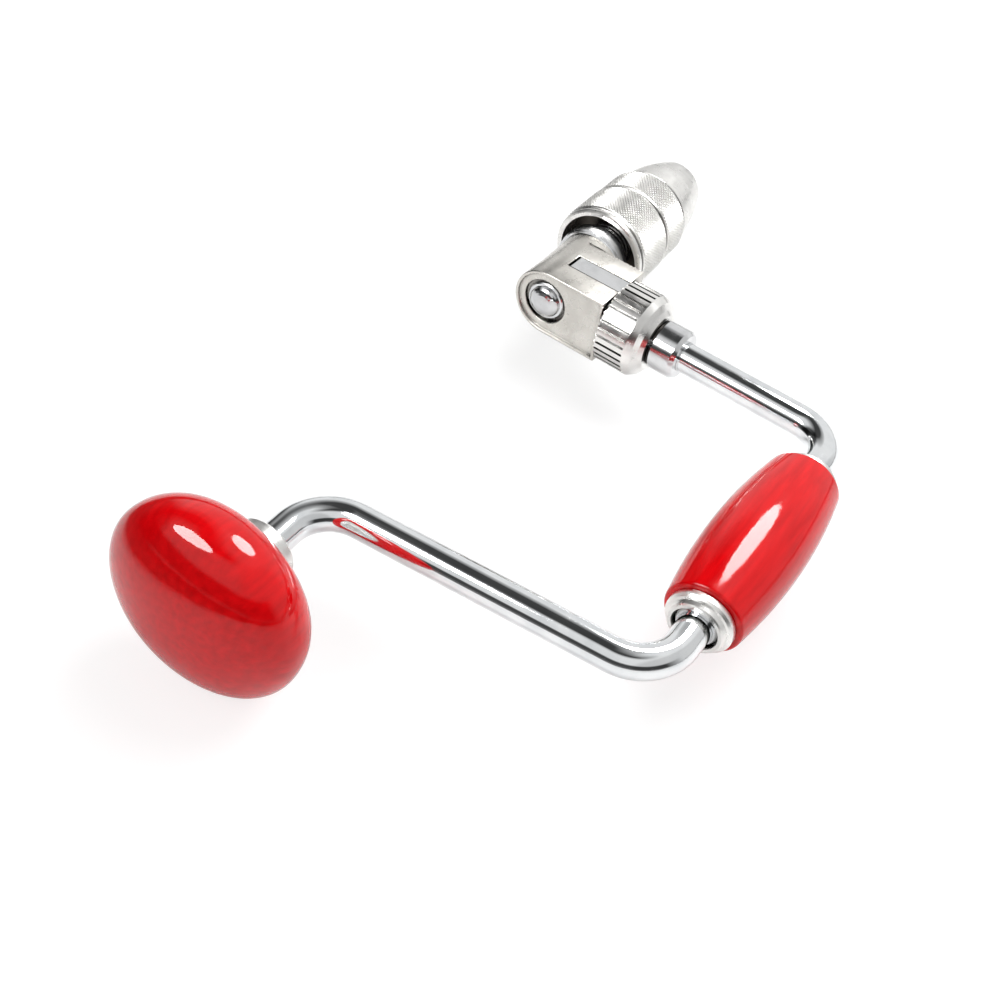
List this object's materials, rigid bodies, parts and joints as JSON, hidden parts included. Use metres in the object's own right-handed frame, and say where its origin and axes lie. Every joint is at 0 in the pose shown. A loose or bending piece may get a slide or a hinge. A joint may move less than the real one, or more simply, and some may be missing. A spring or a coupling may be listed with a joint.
{
  "type": "bit brace",
  "caption": "Cranked hand brace with turning domed head and barrel grip, boxed ratchet with selector ring, and a screw chuck with jaws.",
  "frame": {"origin": "on the axis of rotation, in the plane of the chuck's mouth", "axes": "+X along the axis of rotation, out of the chuck's mouth; -Y from the axis towards the crank's grip; +Z square to the plane of the bow"},
  "size_m": [0.3218, 0.1782, 0.072],
  "materials": {
    "red_lacquer": "beech turned smooth and sprayed with thick glossy red lacquer",
    "chrome_rod": "bright chrome-plated round steel rod",
    "satin_casting": "fine-blasted casting with satin nickel plating",
    "satin_nickel": "turned steel with satin nickel plating",
    "polished_steel": "polished turned steel",
    "tool_steel": "hardened tool steel, ground and oiled",
    "spring_steel": "oil-tempered spring wire",
    "bearing_bronze": "turned bearing bronze"
  },
  "bodies": {
    "frame": {"bow": "chrome_rod", "head_washer": "satin_nickel", "head_nut": "satin_nickel", "grip_stop_rear": "polished_steel", "grip_stop_front": "polished_steel", "ratchet_body": "satin_casting", "front_bush": "bearing_bronze", "pawl_pin_top": "tool_steel", "pawl_pin_bottom": "tool_steel", "pawl_spring_top": "spring_steel", "pawl_spring_bottom": "spring_steel", "detent_ball": "polished_steel", "detent_spring": "spring_steel", "split_ring": "polished_steel", "arm_collar": "polished_steel", "thrust_washer": "satin_nickel"},
    "head": {"head_knob": "red_lacquer", "head_flange": "satin_nickel", "head_screws": "polished_steel", "head_balls": "polished_steel"},
    "grip": {"grip_handle": "red_lacquer", "grip_ferrule_rear": "polished_steel", "grip_ferrule_front": "polished_steel"},
    "selector": {"selector_ring": "satin_casting"},
    "upper_pawl": {"pawl_top": "satin_casting"},
    "lower_pawl": {"pawl_bottom": "satin_casting"},
    "drive": {"spindle": "satin_nickel", "ratchet_wheel": "tool_steel", "end_nut": "polished_steel", "jaw_spring": "spring_steel"},
    "closer": {"closing_ring": "tool_steel"},
    "shell": {"chuck_shell": "satin_nickel"},
    "upper_jaw": {"jaw_upper": "tool_steel"},
    "lower_jaw": {"jaw_lower": "tool_steel"}
  },
  "joints": [
    {"name": "head_spin", "type": "hinge", "parent": "frame", "child": "head", "pos_m": [-0.29, 0, 0], "axis": [1, 0, 0], "continuous": true},
    {"name": "grip_spin", "type": "hinge", "parent": "frame", "child": "grip", "pos_m": [-0.172, -0.125, 0], "axis": [1, 0, 0], "continuous": true},
    {"name": "spindle_spin", "type": "hinge", "parent": "frame", "child": "drive", "pos_m": [-0.09, 0, 0], "axis": [1, 0, 0], "continuous": true},
    {"name": "selector_turn", "type": "hinge", "parent": "frame", "child": "selector", "pos_m": [-0.097, 0, 0], "axis": [-0.0639, -0.998, 0], "range_deg": [0, 60]},
    {"name": "pawl_top_lift", "type": "hinge", "parent": "frame", "child": "upper_pawl", "pos_m": [-0.09582, -0.01911, 0.0122], "axis": [0.998, -0.0639, 0], "range_deg": [0, 10], "deforming": ["pawl_spring_top"]},
    {"name": "pawl_bottom_set", "type": "hinge", "parent": "frame", "child": "lower_pawl", "pos_m": [-0.09582, -0.01911, -0.0122], "axis": [0.998, -0.0639, 0], "range_deg": [0, 10], "deforming": ["pawl_spring_bottom"]},
    {"name": "shell_travel", "type": "slide", "parent": "drive", "child": "closer", "axis": [1, 0, 0], "range_m": [-0.004, 0.008]},
    {"name": "shell_turn", "type": "hinge", "parent": "closer", "child": "shell", "pos_m": [-0.03, 0, 0], "axis": [1, 0, 0], "range_deg": [-721, 1441]},
    {"name": "jaw_upper_swing", "type": "hinge", "parent": "drive", "child": "upper_jaw", "pos_m": [-0.0535, 0, 0.0042], "axis": [0, -1, 0], "range_deg": [-1.06, 2.12]},
    {"name": "jaw_lower_swing", "type": "hinge", "parent": "drive", "child": "lower_jaw", "pos_m": [-0.0535, 0, -0.0042], "axis": [0, 1, 0], "range_deg": [-1.06, 2.12], "deforming": ["jaw_spring"]}
  ],
  "couplings": [
    {"joint": "pawl_top_lift", "follows": "selector_turn", "ratio": 0.16667},
    {"joint": "pawl_bottom_set", "follows": "selector_turn", "ratio": 0.16667},
    {"joint": "shell_turn", "follows": "shell_travel", "rad_per_m": 3141.6},
    {"joint": "jaw_upper_swing", "follows": "shell_travel", "rad_per_m": 4.6},
    {"joint": "jaw_lower_swing", "follows": "shell_travel", "rad_per_m": 4.6}
  ]
}
